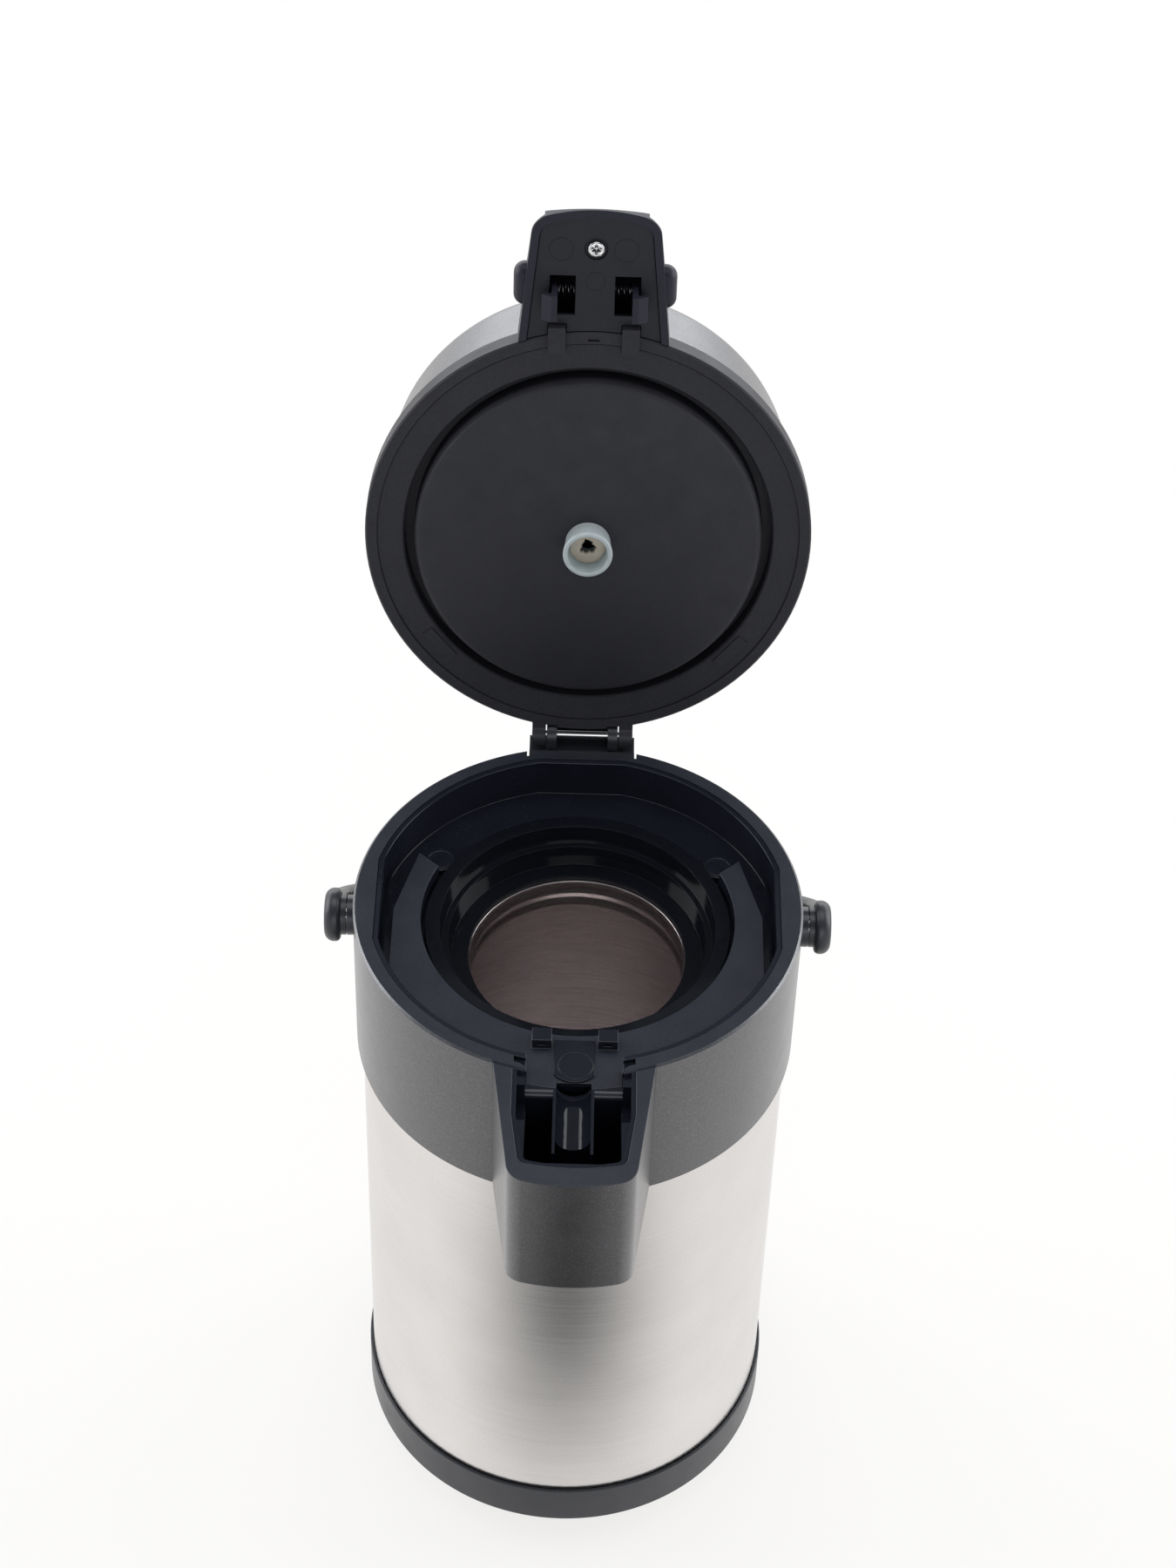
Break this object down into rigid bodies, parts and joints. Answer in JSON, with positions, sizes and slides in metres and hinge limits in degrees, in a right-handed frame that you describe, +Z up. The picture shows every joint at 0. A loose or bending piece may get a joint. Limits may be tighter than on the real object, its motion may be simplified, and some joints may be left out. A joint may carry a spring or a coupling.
{
  "type": "airpot",
  "caption": "Vacuum airpot on a swivel foot: steel body, dark collar with a spout, hinged pump lid with squeeze latches, and a swinging carry handle.",
  "frame": {"origin": "centre of the swivel foot's rubber ring, on the table", "axes": "+Z up along the body's axis, the spout points to -Y, the lid is hinged at +Y, +X to the pourer's right as seen from the front"},
  "size_m": [0.1808, 0.2997, 0.4917],
  "materials": {
    "dark_metallic_paint": "matte metallic-fleck paint over a plastic moulding",
    "satin_black_plastic": "satin moulded plastic",
    "gloss_black_plastic": "polished moulded plastic",
    "matte_black_plastic": "fine spark-eroded texture",
    "steel_body": "fine brushing round the body",
    "steel_liner": "satin drawn steel",
    "steel_bright": "bright drawn or turned steel",
    "black_silicone": "soft matte silicone",
    "beige_silicone": "soft matte silicone",
    "frosted_silicone": "translucent milky silicone",
    "black_rubber": "moulded rubber"
  },
  "bodies": {
    "foot": {"swivel_base": "matte_black_plastic", "rubber_ring": "black_rubber"},
    "pot": {"swivel_screw": "steel_bright", "base_cap": "satin_black_plastic", "outer_shell": "steel_body", "shell_bottom": "steel_liner", "inner_liner": "steel_liner", "neck_gasket": "black_silicone", "collar": "dark_metallic_paint", "collar_bowl": "gloss_black_plastic", "bowl_screws": "steel_bright", "screw_plugs": "gloss_black_plastic", "screw_sockets": "matte_black_plastic", "throat_ring": "gloss_black_plastic", "spout_cover": "dark_metallic_paint", "spout_floor": "satin_black_plastic", "spout_channel": "gloss_black_plastic", "channel_strip": "gloss_black_plastic", "hinge_bracket": "satin_black_plastic", "hinge_pin": "steel_bright", "handle_pin_left": "steel_bright", "handle_pin_right": "steel_bright"},
    "handle": {"carry_handle": "satin_black_plastic", "handle_grip": "satin_black_plastic", "handle_cap_left": "satin_black_plastic", "handle_cap_right": "satin_black_plastic"},
    "lid": {"lid_ring": "matte_black_plastic", "lid_pan": "matte_black_plastic", "lid_shell": "dark_metallic_paint", "air_nozzle": "frosted_silicone", "nozzle_valve": "beige_silicone", "tongue_housing": "satin_black_plastic", "tongue_cover": "matte_black_plastic", "tongue_screw": "steel_bright", "bellows": "black_rubber", "return_spring": "steel_bright", "latch_spring_left": "steel_bright", "latch_spring_right": "steel_bright"},
    "button": {"push_button": "satin_black_plastic", "button_flange": "matte_black_plastic", "intake_valve": "black_silicone"},
    "latch_left": {"latch_button_left": "satin_black_plastic"},
    "latch_right": {"latch_button_right": "satin_black_plastic"}
  },
  "joints": [
    {"name": "swivel", "type": "hinge", "parent": "foot", "child": "pot", "pos_m": [0, 0, 0.009], "axis": [0, 0, 1], "continuous": true},
    {"name": "lid_hinge", "type": "hinge", "parent": "pot", "child": "lid", "pos_m": [0, 0.0835, 0.2877], "axis": [1, 0, 0], "range_deg": [0, 102.77]},
    {"name": "button_push", "type": "slide", "parent": "lid", "child": "button", "axis": [0, -0.9753, 0.221], "range_m": [0, 0.022], "stiffness_N_per_m": 400, "springref_m": -0.01, "deforming": ["bellows", "return_spring"]},
    {"name": "latch_left", "type": "slide", "parent": "lid", "child": "latch_left", "axis": [1, 0, 0], "range_m": [0, 0.003], "stiffness_N_per_m": 300, "springref_m": -0.004, "deforming": ["latch_spring_left"]},
    {"name": "latch_right", "type": "slide", "parent": "lid", "child": "latch_right", "axis": [-1, 0, 0], "range_m": [0, 0.003], "stiffness_N_per_m": 300, "springref_m": -0.004, "deforming": ["latch_spring_right"]},
    {"name": "handle_swing", "type": "hinge", "parent": "pot", "child": "handle", "pos_m": [0, 0.002, 0.2735], "axis": [1, 0, 0], "range_deg": [0, 41.8]}
  ]
}
